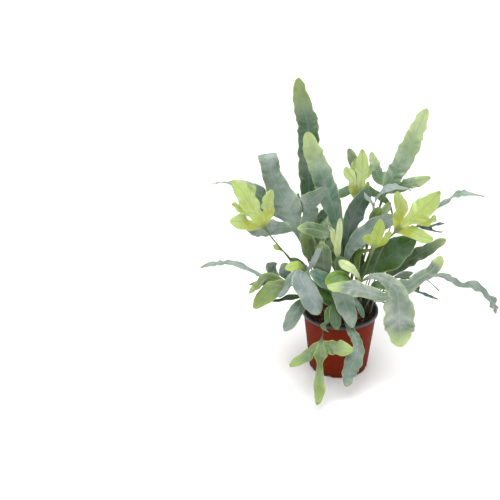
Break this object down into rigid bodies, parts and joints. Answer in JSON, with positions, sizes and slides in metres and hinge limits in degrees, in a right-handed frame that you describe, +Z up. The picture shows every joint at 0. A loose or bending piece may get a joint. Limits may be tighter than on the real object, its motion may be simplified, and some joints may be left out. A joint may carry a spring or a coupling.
{
  "type": "blue star fern in a nursery pot",
  "caption": "Potted blue star fern: strappy and lobed blue-green fronds with lime young ends rise on wiry stipes from a creeping rhizome in a tapered plastic nursery pot.",
  "frame": {"origin": "centre of the pot's flat underside, on the surface that it stands on", "axes": "+Z up along the pot's axis, -Y the front that the lobed fronds hang over"},
  "size_m": [0.4576, 0.3083, 0.4731],
  "materials": {
    "pot": "satin, terracotta red-brown",
    "soil": "rough dark peat",
    "rhizome": "scaly golden brown",
    "frond_green": "matte green leaf",
    "frond_limetip": "matte green leaf with a lime end",
    "frond_grey": "matte grey-green leaf",
    "frond_lime": "matte young lime leaf",
    "frond_paletip": "matte pale green leaf",
    "frond_dark": "satin dark green leaf",
    "frond_blue": "matte blue-grey leaf with bloom",
    "frond_darkgrey": "matte dark grey-green leaf",
    "frond_olive": "satin olive leaf",
    "frond_pale": "matte pale leaf",
    "frond_bluelime": "matte blue-grey leaf with lime ends",
    "frond_teal": "matte blue-green leaf",
    "frond_limeedge": "satin green leaf with a lime edge",
    "frond_limepale": "matte pale lime leaf",
    "frond_limetips": "matte green leaf with lime ends",
    "frond_sage": "matte sage green leaf",
    "frond_slate": "matte slate green leaf"
  },
  "bodies": {
    "root": {"pot": "pot", "soil": "soil", "rhizome": "rhizome", "frond_tall_back": "frond_sage", "frond_tall_front": "frond_limetip", "frond_left_grey": "frond_grey", "frond_left_lime": "frond_lime", "frond_mid_simple": "frond_green", "frond_mid_lime": "frond_limepale", "frond_top_lime": "frond_lime", "frond_top_behind": "frond_sage", "frond_right_tall": "frond_paletip", "frond_back_strap": "frond_dark", "frond_blue_strap": "frond_blue", "frond_dark_upright": "frond_darkgrey", "frond_blue_broad": "frond_slate", "frond_olive_leaf": "frond_olive", "frond_pale_tip": "frond_pale", "frond_right_lime": "frond_lime", "frond_small_lime": "frond_lime", "frond_dark_broad": "frond_dark", "frond_under_strap": "frond_green", "frond_far_right": "frond_grey", "frond_right_thin": "frond_darkgrey", "frond_front_right": "frond_bluelime", "frond_trailing": "frond_slate", "frond_thin_blades": "frond_darkgrey", "frond_left_long": "frond_grey", "frond_left_two": "frond_limetips", "frond_bud_leaf": "frond_lime", "frond_bud_shade": "frond_dark", "frond_front_left": "frond_blue", "frond_mid_green": "frond_green", "frond_mid_blue": "frond_teal", "frond_lime_edge": "frond_limeedge", "frond_hang_mid": "frond_grey", "frond_hang_narrow": "frond_teal", "frond_hang_left": "frond_grey", "frond_small_pale": "frond_limepale", "frond_arching": "frond_olive", "frond_front_three": "frond_limetips", "frond_front_hang": "frond_grey", "frond_front_small": "frond_dark", "frond_left_dark": "frond_dark", "frond_brown_leaf": "frond_olive", "frond_under_leaf": "frond_dark", "frond_back_left": "frond_green", "frond_back_middle": "frond_green", "frond_back_right": "frond_teal", "frond_back_low_right": "frond_dark", "frond_back_low_left": "frond_dark", "frond_back_low_middle": "frond_dark", "frond_mid_dark": "frond_dark", "frond_shade_right": "frond_dark", "frond_shade_arch": "frond_dark", "frond_shade_far": "frond_grey", "frond_leaflet": "frond_lime", "frond_inner_left": "frond_dark", "frond_inner_back": "frond_dark", "frond_inner_dark": "frond_dark"}
  },
  "joints": []
}
